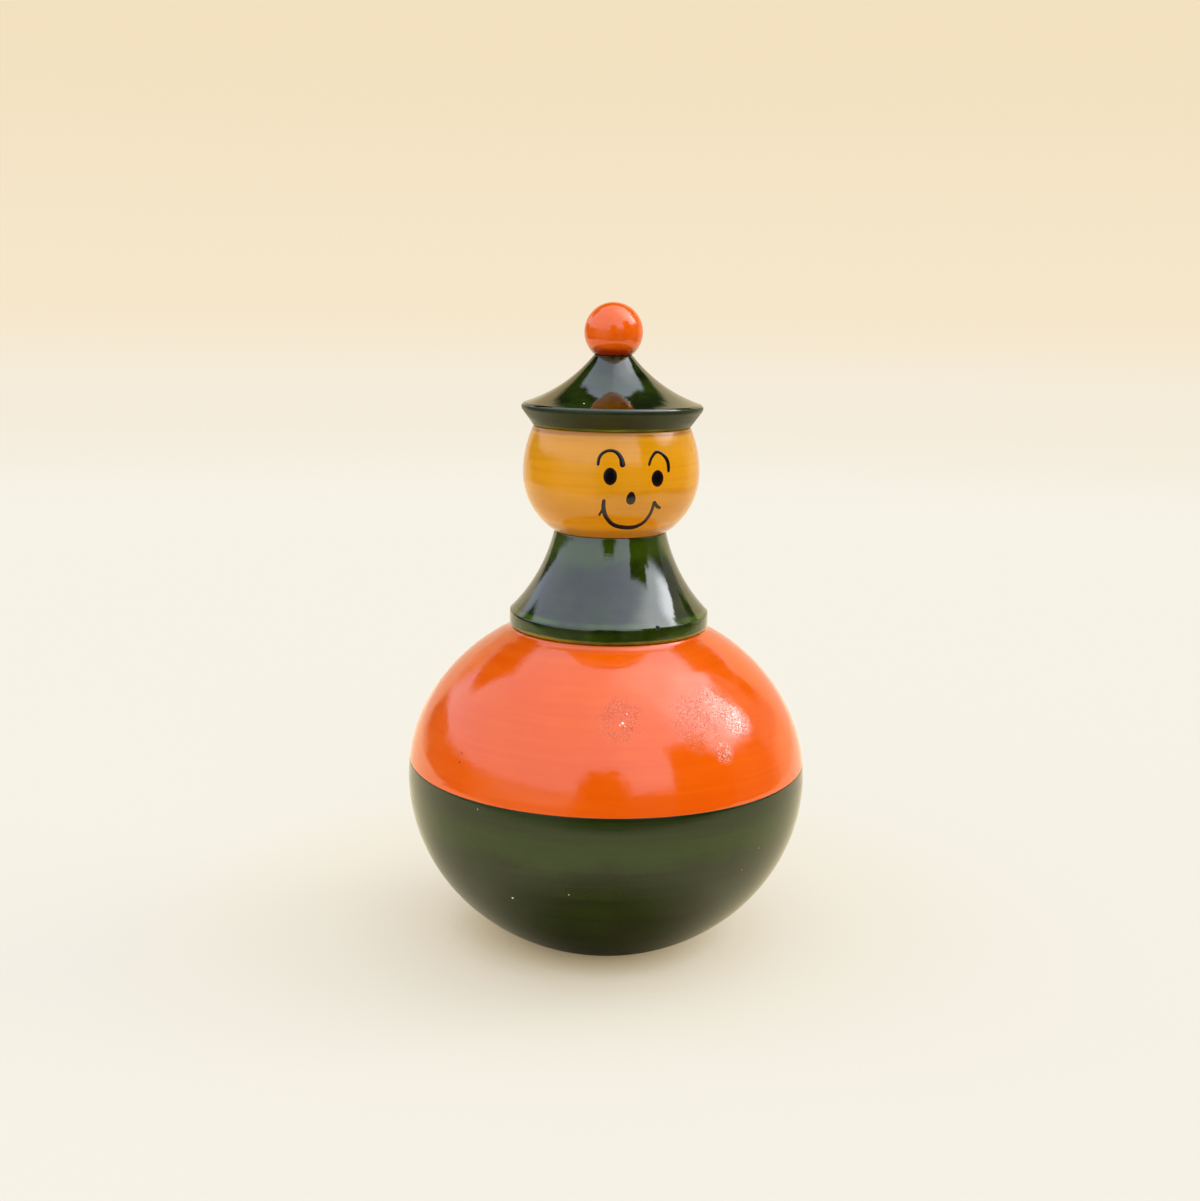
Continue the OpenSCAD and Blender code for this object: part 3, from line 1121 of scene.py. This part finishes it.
@dataclass
class PaintedHead:
    """The barrel-shaped head and the face painted on it."""

    cheek_h: float = 11.4
    brow_curve_r: float = 22.0
    chin_curve_r: float = 13.5
    # Both ends of the head have their corner softened by this much.
    end_soft: float = 0.35
    side_steps: int = 40
    # Width of the two heights between which the slope of the skin is measured.
    slope_step: float = 0.02
    # A stroke is first walked in fine steps, then gets rings this far apart, and at least a few.
    fine_steps: int = 400
    ring_gap: float = 0.07
    least_rings: int = 6
    # The square of the share of its width that a stroke keeps at its very ends.
    lift_off: float = 0.02

    def __post_init__(self) -> None:
        """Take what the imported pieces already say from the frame."""
        head = span("head")
        self.radius = head.radius
        self.foot_z = head.low
        self.height = head.high - head.low
        self.bore_r = span("neck_dowel").radius + GLUE_GAP

    def skin_radius(self, height: float) -> float:
        """Return the head's radius at a height above its foot."""
        off = height - self.cheek_h
        curve = self.brow_curve_r if off > 0 else self.chin_curve_r
        return self.radius - curve + math.sqrt(curve ** 2 - off ** 2)

    def outline(self) -> Outline:
        """Draw the half section of the head with the dowel's bore."""
        outline = Outline(bare=True)
        outline.to(self.bore_r, self.foot_z).inside(False)
        for i in range(self.side_steps + 1):
            height = self.height * i / self.side_steps
            soft = self.end_soft if i in (0, self.side_steps) else 0.0
            outline.to(self.skin_radius(height), self.foot_z + height, soft)
        return outline.inside().to(self.bore_r, self.foot_z + self.height)

    def on_skin(self, angle: float, height: float, lift: float) -> Vector:
        """Find a point over the head's skin.

        Args:
            angle: Degrees from the middle of the face.
            height: Millimetres above the head's foot.
            lift: Millimetres above the skin.

        Returns:
            The point in metres.
        """
        half = self.slope_step / 2
        slope = (self.skin_radius(height + half) - self.skin_radius(height - half)) / self.slope_step
        steep = math.hypot(1.0, slope)
        up = self.foot_z + height - lift * slope / steep
        return Spot(angle, up, self.skin_radius(height) + lift / steep).point() * MM

    def way(self, start: Brush, end: Brush, height: float) -> tuple[float, float]:
        """Return how far the brush goes round the head, measured at a height, and how far up."""
        sideways = math.radians(end.angle - start.angle) * self.skin_radius(height)
        return sideways, end.height - start.height

    def lay_stroke(self, stroke: Stroke, paint: "PaintMesh") -> None:
        """Lay a stroke of paint as a closed bead with round ends.

        Args:
            stroke: The stroke to lay.
            paint: The mesh that gets it.
        """
        last = self.fine_steps
        fine = [stroke.at(i / last) for i in range(last + 1)]
        walked = [0.0]
        for start, end in zip(fine, fine[1:]):
            walked.append(walked[-1] + math.hypot(*self.way(start, end, start.height)))
        whole = walked[-1]
        rings = max(self.least_rings, round(whole / self.ring_gap))
        rows = []
        for i in range(rings + 1):
            distance = whole * i / rings
            at = min(last, sum(length < distance for length in walked))
            brush = fine[at]
            sideways, up = self.way(fine[max(at - 1, 0)], fine[min(at + 1, last)], brush.height)
            side = Vector((-up, sideways)).normalized()
            half = brush.width / 2
            from_end = min(1.0, distance / half, (whole - distance) / half)
            half *= math.sqrt(max(self.lift_off, 1 - (1 - from_end) ** 2))
            rows.append(paint.ring(self, brush, side * half))
        paint.bead(rows)

    def build(self) -> None:
        """Turn the head and paint its face."""
        self.head = turn("lacquered_head", self.outline())
        paint = PaintMesh()
        for stroke in (LEFT_BROW, RIGHT_BROW, MOUTH, LEFT_TICK, RIGHT_TICK):
            self.lay_stroke(stroke, paint)
        for dab in (*EYES, NOSE):
            paint.dome(self, dab)
        self.face = paint.piece("painted_face")

    def dress(self) -> None:
        """Lacquer the head and dry the paint."""
        settle(self.head, HEAD_LAC, "head")
        settle(self.face, FACE_PAINT)


@dataclass
class PaintMesh:
    """The beads and domes of paint as they are laid on a head."""

    # The paint stands this proud, its edge dips this far into the lac, and its back lies deeper.
    lift: float = 0.07
    sink: float = 0.012
    back_depth: float = 0.024
    # The paint is thin only near its edge, by this power of the way there.
    thin_power: int = 4
    # Across a bead: the share of its half width, and whether it is on the upper side.
    section: tuple[tuple[float, bool], ...] = (
        (-1, True), (-0.75, True), (-0.35, True), (0.35, True), (0.75, True), (1, True),
        (0.5, False), (-0.5, False),
    )
    dab_rings: int = 8
    dab_steps: int = 48
    # The back of a dab is this share of its width.
    dab_back: float = 0.9
    points: list[Vector] = field(default_factory=list)
    thin: list[float] = field(default_factory=list)
    faces: list[list[int]] = field(default_factory=list)

    def put(self, head: PaintedHead, angle: float, height: float, share: float, upper: bool) -> int:
        """Add a point of paint and return its number.

        Args:
            head: The head that is painted.
            angle: Degrees from the middle of the face.
            height: Millimetres above the head's foot.
            share: How far it is from the middle to the edge of the paint.
            upper: Whether it is on the upper side.

        Returns:
            The number of the point.
        """
        lift = (self.lift + self.sink) * (1 - share ** 2) - self.sink if upper else -self.back_depth
        self.points.append(head.on_skin(angle, height, lift))
        self.thin.append(share ** self.thin_power)
        return len(self.points) - 1

    def ring(self, head: PaintedHead, brush: Brush, side: Vector) -> list[int]:
        """Add a ring of points across a stroke.

        Args:
            head: The head that is painted.
            brush: Where the stroke is.
            side: From its middle to its edge, sideways and up in millimetres.

        Returns:
            The numbers of the points.
        """
        radius = head.skin_radius(brush.height)
        made = []
        for share, upper in self.section:
            angle = brush.angle + math.degrees(side.x * share / radius)
            made.append(self.put(head, angle, brush.height + side.y * share, abs(share), upper))
        return made

    def oval(self, head: PaintedHead, dab: Dab, share: float, upper: bool) -> list[int]:
        """Add a ring of points round a dab.

        Args:
            head: The head that is painted.
            dab: The dab.
            share: Size of the ring as a share of the dab.
            upper: Whether it is on the upper side.

        Returns:
            The numbers of the points.
        """
        radius = head.skin_radius(dab.height)
        made = []
        for step in range(self.dab_steps):
            turned = math.tau * step / self.dab_steps
            up = math.sin(turned)
            wide = dab.half_width * share * math.cos(turned) * (1 - dab.egg * up)
            angle = dab.angle + math.degrees(wide / radius)
            made.append(self.put(head, angle, dab.height + dab.half_height * share * up, share, upper))
        return made

    def bead(self, rows: list[list[int]]) -> None:
        """Join rings of points across a stroke into a closed bead."""
        count = len(self.section)
        for near, far in zip(rows, rows[1:]):
            for i in range(count):
                after = (i + 1) % count
                self.faces.append([near[i], near[after], far[after], far[i]])
        self.faces.append(rows[0][::-1])
        self.faces.append(rows[-1])

    def dome(self, head: PaintedHead, dab: Dab) -> None:
        """Lay an oval of paint as a low closed dome with a flat back."""
        rows = [self.oval(head, dab, (i + 1) / self.dab_rings, True) for i in range(self.dab_rings)]
        rows.append(self.oval(head, dab, self.dab_back, False))
        self.faces.append(rows[0])
        for near, far in zip(rows, rows[1:]):
            for i in range(self.dab_steps):
                after = (i + 1) % self.dab_steps
                self.faces.append([near[i], far[i], far[after], near[after]])
        self.faces.append(rows[-1][::-1])

    def piece(self, name: str) -> bpy.types.Object:
        """Make the paint into a piece."""
        mesh = bpy.data.meshes.new(name)
        mesh.from_pydata(self.points, [], self.faces)
        mesh.attributes.new(THIN, "FLOAT", "POINT").data.foreach_set("value", self.thin)
        return new_piece(name, mesh)


@dataclass
class BrimmedHat:
    """The pointed hat with its sloping brim, and the ball pinned to its top."""

    brim_reach: float = 2.4
    brim_round: float = 0.9
    brim_lean: float = 36.0
    sweep_r: float = 28.5
    top_r: float = 3.7
    foot_soft: float = 0.18
    top_soft: float = 0.2
    # Faces of the brim whose normal rises less than this count as its underside.
    under_rise: float = 0.45
    brim_steps: int = 10
    sweep_steps: int = 40
    # The sweep starts this far past the brim's last point, so that no two points meet.
    sweep_skip: float = 0.3
    ball_spigot_r: float = 2.0
    ball_foot_soft: float = 0.2
    # The ball's arc starts this far above its foot and ends just short of the axis.
    ball_skip: float = 4.0
    ball_end: float = 89.0
    ball_steps: int = 40

    def __post_init__(self) -> None:
        """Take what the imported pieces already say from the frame."""
        hat = span("hat")
        ball = span("hat_ball")
        dowel = span("neck_dowel")
        self.foot_z, self.top_z = hat.low, hat.high
        self.ball_r, self.spigot_z, self.ball_top_z = ball.radius, ball.low, ball.high
        self.bore_r = dowel.radius + GLUE_GAP
        self.bore_z = dowel.high + END_GAP

    def hat_outline(self, crown_r: float) -> Outline:
        """Draw the half section of the hat.

        Args:
            crown_r: Radius of the head's top, which the hat's foot meets.

        Returns:
            The outline.
        """
        lean = math.radians(self.brim_lean)
        edge_r = crown_r + self.brim_reach - self.brim_round
        edge_h = (self.brim_round + (edge_r - crown_r) * math.cos(lean)) / math.sin(lean)
        edge = Vector((edge_r, self.foot_z + edge_h))
        top = Vector((self.top_r, self.top_z))
        centre = sweep_centre(top, edge, self.sweep_r, self.brim_round)
        leave = heading(centre - edge)
        start = leave - 180.0 + self.sweep_skip
        hole_r = self.ball_spigot_r + GLUE_GAP
        hole_z = self.spigot_z - END_GAP
        outline = Outline(bare=True)
        outline.to(0.0, self.bore_z).to(self.bore_r, self.bore_z).to(self.bore_r, self.foot_z)
        outline.inside(False).to(crown_r, self.foot_z, self.foot_soft)
        outline.arc(edge, self.brim_round, -self.brim_lean, leave, self.brim_steps)
        outline.arc(centre, self.sweep_r, start, heading(top - centre), self.sweep_steps)
        outline.soften_last(self.top_soft)
        outline.inside().to(hole_r, self.top_z).to(hole_r, hole_z)
        return outline.to(0.0, hole_z)

    def ball_outline(self) -> Outline:
        """Draw the half section of the ball and its spigot."""
        middle = Vector((0.0, self.ball_top_z - self.ball_r))
        start = heading(Vector((self.top_r, self.top_z)) - middle) + self.ball_skip
        outline = Outline(bare=True)
        outline.to(0.0, self.spigot_z).to(self.ball_spigot_r, self.spigot_z)
        outline.to(self.ball_spigot_r, self.top_z)
        outline.inside(False).to(self.top_r, self.top_z, self.ball_foot_soft)
        outline.arc(middle, self.ball_r, start, self.ball_end, self.ball_steps)
        return outline.to(0.0, self.ball_top_z)

    def is_under_brim(self, middle: Vector, normal: Vector) -> bool:
        """Say whether a face of the hat belongs to the underside of its brim."""
        return normal.z < self.under_rise and middle.xy.length > self.brim_from

    def build(self, crown_r: float) -> None:
        """Turn the hat to meet a head's top of that radius, and its ball."""
        self.brim_from = crown_r - self.foot_soft
        self.hat = turn("brimmed_hat", self.hat_outline(crown_r))
        self.ball = turn("lacquered_ball", self.ball_outline())

    def dress(self) -> None:
        """Lacquer the hat, the underside of its brim and the ball."""
        settle(self.hat, HAT_LAC, "hat")
        finish_faces(self.hat, UNDER_LAC, self.is_under_brim)
        settle(self.ball, BALL_LAC, "hat_ball")


@dataclass(frozen=True)
class Panel:
    """A soft-edged panel of light or shade that stands round the doll.

    Left and right are azimuths from the camera, positive to its right. Foot and head are elevations.
    """

    left: float
    right: float
    foot: float
    head: float
    light: Light
    # How far the sides and the ends fade, each way.
    soft_sides: float = 4.0
    soft_ends: float = 4.0


@dataclass(frozen=True)
class Studio:
    """A pale floor that runs into a warm backdrop, soft panels of light round it, and the camera."""

    # The face is turned this far to the camera's right.
    turned: float = 13.0
    stand_off: float = 294.4
    sideways: float = -1.77
    eye_height: float = 130.9
    look_down: float = 11.35
    roll: float = 0.97
    focal_pixels: float = 1500.0
    frame_pixels: float = 1201.0
    sensor: float = 36.0

    floor_reach: float = 2000.0
    floor_steps: int = 96
    floor_colour: str = "#e1d8c1"
    paper_roughness: float = 0.9
    paper_shine: float = 0.1
    # The camera sees this share of the floor as glowing paper with a painted shadow, darker where more stands
    # within reach over it.
    painted_shadow_share: float = 0.7
    shade_reach: float = 70.0
    # The painted shadow leans away from the window, worked out as if this much of the light came from the
    # right and from the front.
    from_right: float = 0.2
    from_front: float = 0.6
    # The painted shadow's colours on the paper, from where it is nearly covered to where it is open.
    paper: Stops = (
        (0.05, "#241a10"), (0.2, "#7c6a4e"), (0.31, "#b6a481"), (0.41, "#cfc09d"), (0.51, "#ecdfc6"),
        (0.62, "#f1e5cd"), (0.73, "#f5ecd7"), (0.86, "#f7f0de"), (1.0, "#f6f2e6"),
    )
    # For all but the camera's rays the floor has a painted colour, warmer and darker close in front of the
    # doll, so little light comes up from there and the lac mirrors painted shade.
    painted_bounce: Stops = ((8.0, "#83724e"), (44.0, "#ffecbb"))
    painted_bounce_behind: float = -34.0
    # The camera sees the floor fade into the backdrop over these distances.
    fade: Pair = (450.0, 1000.0)
    # The lac mirrors the floor within this reach of a point behind the doll, and less far to the right.
    mirrored_reach: float = 405.0
    mirrored_behind: float = 220.0
    mirrored_aside: float = 270.0
    # The backdrop's colours, and the height of each as the sine of its elevation.
    backdrop: Stops = (
        (-0.145, "#f7f3e7"), (-0.066, "#f5ecdb"), (0.0, "#f6e7cb"), (0.16, "#f3e1c0"),
    )
    # The lac mirrors the backdrop this straight behind the doll and this low.
    backdrop_behind: Pair = (0.75, 0.92)
    backdrop_low: Pair = (4.0, 22.0)

    ceiling: Light = (1.13, 1.21, 1.52)
    bright_ceiling: Light = (1.50, 1.62, 1.98)
    round_window: Light = (2.5, 2.55, 2.75)
    broad_window: Light = (3.4, 3.5, 3.8)
    window: Light = (7.0, 7.1, 7.4)
    flag: Light = (0.02, 0.02, 0.02)
    low_side: Light = (0.10, 0.09, 0.08)
    low_left: Light = (0.34, 0.32, 0.27)
    left_sill: Light = (0.75, 0.74, 0.70)
    low_right: Light = (0.14, 0.12, 0.09)
    right_post: Light = (0.42, 0.40, 0.33)
    low_behind: Light = (0.98, 0.81, 0.5)
    left_behind: Light = (0.80, 0.60, 0.34)

    def panels(self) -> tuple[Panel, ...]:
        """Return the panels, each in front of the ones before it."""
        return (
            Panel(-200, 200, 9, 100, self.ceiling, soft_ends=5),
            Panel(12, 180, 9, 100, self.bright_ceiling, soft_sides=45, soft_ends=5),
            Panel(56, 134, 46, 80, self.round_window, soft_sides=18, soft_ends=12),
            Panel(66, 120, 24, 62, self.broad_window, soft_sides=14, soft_ends=5),
            Panel(92, 120, 25, 46, self.window, soft_sides=10, soft_ends=5),
            Panel(-142, -80, -90, 10, self.low_side, soft_sides=8),
            Panel(-80, -20, -90, 9, self.low_left, soft_sides=8),
            Panel(-66, -20, 1, 10, self.left_sill, soft_sides=8),
            Panel(8, 44, -90, 11.5, self.low_right, soft_ends=6),
            Panel(70, 118, -90, 21, self.low_right),
            Panel(-16, 13, -90, 21, self.flag, soft_ends=5),
            Panel(-12, 8, 12, 27.5, self.flag, soft_sides=3, soft_ends=3),
            Panel(40, 70, -90, 38.5, self.flag, soft_sides=2, soft_ends=3),
            Panel(64, 77, -90, 27, self.flag, soft_sides=3, soft_ends=3),
            Panel(127, 200, 27, 50.5, self.flag, soft_sides=2, soft_ends=3),
            Panel(151, 200, 40, 57.5, self.flag, soft_ends=2),
            Panel(-200, -122, 27, 48, self.flag, soft_sides=3, soft_ends=3),
            Panel(-200, -148, 40, 55.5, self.flag, soft_ends=2),
            Panel(115, 200, -90, 27, self.low_behind, soft_sides=10),
            Panel(109.5, 128, 7, 44, self.right_post, soft_sides=2, soft_ends=3),
            Panel(126, 137, 7, 18, self.right_post, soft_sides=2, soft_ends=3),
            Panel(126, 137, 18, 29, self.flag, soft_sides=2, soft_ends=3),
            Panel(152, 200, 20, 34, self.low_behind),
            Panel(-200, -138, 12, 27, self.left_behind, soft_sides=6),
            Panel(-200, -150, 20, 31, self.left_behind),
            Panel(-200, -141, -90, 12, self.low_behind, soft_sides=6),
            Panel(-200, -128, -90, -1, self.low_behind, soft_sides=6, soft_ends=3),
            Panel(-139, -115, 1, 13, self.low_side, soft_sides=3, soft_ends=2),
        )

    def to_camera(self) -> Matrix:
        """Return the turn from the camera's sides to the doll's."""
        return Matrix.Rotation(math.radians(-self.turned), 4, "Z")

    def axes(self) -> tuple[Vector, Vector]:
        """Return the camera's right and its back, level with the floor."""
        turned = self.to_camera()
        return turned @ Vector((1, 0, 0)), turned @ Vector((0, 1, 0))

    def add_camera(self) -> None:
        """Stand the camera where the photograph was taken from."""
        data = bpy.data.cameras.new("camera")
        data.sensor_width = self.sensor
        data.lens = self.sensor * self.focal_pixels / self.frame_pixels
        camera = bpy.data.objects.new("camera", data)
        place = Vector((self.sideways, -self.stand_off, self.eye_height)) * MM
        tilt = Matrix.Rotation(math.radians(90 - self.look_down), 4, "X")
        lean = Matrix.Rotation(math.radians(self.roll), 4, "Z")
        camera.matrix_world = self.to_camera() @ Matrix.Translation(place) @ tilt @ lean
        bpy.context.scene.collection.objects.link(camera)
        bpy.context.scene.camera = camera

    def add_floor(self) -> None:
        """Lay a round pale floor."""
        reach = self.floor_reach * MM
        angles = [math.tau * step / self.floor_steps for step in range(self.floor_steps)]
        rim = [(reach * math.cos(angle), reach * math.sin(angle), 0.0) for angle in angles]
        mesh = bpy.data.meshes.new("floor")
        mesh.from_pydata(rim, [], [list(range(self.floor_steps))])
        mesh.materials.append(self.floor_material())
        floor = bpy.data.objects.new("floor", mesh)
        bpy.context.scene.collection.objects.link(floor)

    def floor_material(self) -> bpy.types.Material:
        """Make the floor's matt paper with its painted shadow, which the camera sees fade into the backdrop.
        """
        made = bpy.data.materials.new("pale matt paper")
        made.use_nodes = True
        tree = made.node_tree
        paper = tree.nodes["Principled BSDF"]
        paper.inputs["Roughness"].default_value = self.paper_roughness
        paper.inputs["Specular IOR Level"].default_value = self.paper_shine
        camera_ray = add_node(tree, Step.CAMERA_RAY)
        # Rays other than the camera's see the floor's painted shade and warmth.
        painted_bounce = gradient(tree, self.floor_distance(tree, self.painted_bounce_behind), self.painted_bounce)
        colour = add_node(tree, Step.BLEND, painted_bounce, linear(self.floor_colour), camera_ray)
        tree.links.new(colour, paper.inputs["Base Color"])
        # The camera sees the paper glow in painted shadow colours, from how open the room is over it.
        pale = add_node(tree, Step.EMISSION, gradient(tree, self.open_share(tree), self.paper))
        painted_shadow_seen = add_node(tree, Step.MULTIPLY, camera_ray, self.painted_shadow_share)
        seen = add_node(tree, Step.MIX_SHADERS, painted_shadow_seen, paper.outputs[0], pale)
        through = add_node(tree, Step.TRANSPARENT)
        mixed = add_node(tree, Step.MIX_SHADERS, self.cleared(tree), seen, through)
        tree.links.new(mixed, tree.nodes["Material Output"].inputs["Surface"])
        return made

    def floor_distance(self, tree: Tree, behind: float = 0.0) -> Socket:
        """Return how many millimetres a place on the floor is from a point that far behind the doll."""
        point = self.axes()[1] * behind * MM
        metres = add_node(tree, Step.DISTANCE, add_node(tree, Step.PLACE), point)
        return add_node(tree, Step.DIVIDE, metres, MM)

    def open_share(self, tree: Tree) -> Socket:
        """Return how open the room is over a place on the floor, on the side that the light comes from."""
        right, back = self.axes()
        lit_from = (right * self.from_right - back * self.from_front + Vector((0, 0, 1))).normalized()
        lean = add_node(tree, Step.COMBINE, *lit_from)
        return add_node(tree, Step.OPEN_SHARE, self.shade_reach * MM, lean)

    def cleared(self, tree: Tree) -> Socket:
        """Return where the floor is left out: far off, past what the lac mirrors and from below."""
        faded = add_node(tree, Step.EASE, self.floor_distance(tree), *self.fade)
        faded = add_node(tree, Step.MULTIPLY, faded, add_node(tree, Step.CAMERA_RAY))
        away = self.floor_distance(tree, self.mirrored_behind)
        aside = add_node(tree, Step.DOT_PRODUCT, add_node(tree, Step.PLACE), self.axes()[0])
        far = add_node(tree, Step.EXCEEDS, away, self.mirrored_reach)
        wide = add_node(tree, Step.EXCEEDS, aside, self.mirrored_aside * MM)
        past = add_node(tree, Step.MAXIMUM, far, wide)
        past = add_node(tree, Step.MULTIPLY, past, add_node(tree, Step.GLOSSY_RAY))
        clear = add_node(tree, Step.MAXIMUM, faded, past)
        return add_node(tree, Step.MAXIMUM, clear, add_node(tree, Step.BACK_FACE))

    def inside(self, tree: Tree, panel: Panel, azimuth: Socket, elevation: Socket) -> Socket:
        """Work out how much of a panel is seen in a direction.

        Args:
            tree: The world's node tree.
            panel: The panel to look at.
            azimuth: Azimuth of the direction in degrees.
            elevation: Its elevation in degrees.

        Returns:
            One inside the panel, fading to nothing outside it.
        """
        sides, ends = panel.soft_sides, panel.soft_ends
        seen = add_node(tree, Step.EASE, azimuth, panel.left - sides, panel.left + sides)
        for angle, edge, soft, before, after in (
            (azimuth, panel.right, sides, 1.0, 0.0),
            (elevation, panel.foot, ends, 0.0, 1.0),
            (elevation, panel.head, ends, 1.0, 0.0),
        ):
            within = add_node(tree, Step.EASE, angle, edge - soft, edge + soft, before, after)
            seen = add_node(tree, Step.MULTIPLY, seen, within)
        return seen

    def add_world(self) -> None:
        """Stand the panels round the doll, with the pale backdrop for the camera and for low reflections."""
        world = bpy.data.worlds.new("studio")
        world.use_nodes = True
        bpy.context.scene.world = world
        tree = world.node_tree
        way = add_node(tree, Step.DIRECTION)
        up = add_node(tree, Step.HEIGHT, way)
        right, back = (add_node(tree, Step.DOT_PRODUCT, way, axis) for axis in self.axes())
        front = add_node(tree, Step.MULTIPLY, back, -1.0)
        azimuth = add_node(tree, Step.DEGREES, add_node(tree, Step.ARCTAN2, right, front))
        elevation = add_node(tree, Step.DEGREES, add_node(tree, Step.ARCSINE, up))
        glow: Given = (*self.flag, 1.0)
        for panel in self.panels():
            share = self.inside(tree, panel, azimuth, elevation)
            glow = add_node(tree, Step.BLEND, glow, (*panel.light, 1.0), share)

        lit = tree.nodes["Background"]
        tree.links.new(glow, lit.inputs["Color"])
        seen = add_node(tree, Step.BACKGROUND, gradient(tree, up, self.backdrop))
        behind = add_node(tree, Step.EASE, back, *self.backdrop_behind)
        low = add_node(tree, Step.EASE, elevation, *self.backdrop_low, 1.0, 0.0)
        mirrored = add_node(tree, Step.MULTIPLY, behind, low)
        mirrored = add_node(tree, Step.MULTIPLY, mirrored, add_node(tree, Step.GLOSSY_RAY))
        rays = (add_node(tree, step) for step in (Step.CAMERA_RAY, Step.TRANSMISSION_RAY))
        shown = add_node(tree, Step.MAXIMUM, add_node(tree, Step.MAXIMUM, *rays), mirrored)
        mixed = add_node(tree, Step.MIX_SHADERS, shown, lit.outputs[0], seen)
        tree.links.new(mixed, tree.nodes["World Output"].inputs["Surface"])

    def build(self) -> None:
        """Set up the camera, the floor and the light."""
        bpy.context.scene.view_settings.view_transform = "Standard"
        self.add_camera()
        self.add_floor()
        self.add_world()


def main() -> None:
    """Set up the studio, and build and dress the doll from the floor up."""
    logging.basicConfig(level=logging.INFO, format="%(message)s")
    Studio().build()
    body = WeightedBody()
    head = PaintedHead()
    collar = FlaredCollar()
    hat = BrimmedHat()
    body.build()
    collar.build(neck_r=head.skin_radius(0.0))
    head.build()
    hat.build(crown_r=head.skin_radius(head.height))
    for part in (body, collar, head, hat):
        part.dress()


if __name__ == "__main__":
    main()
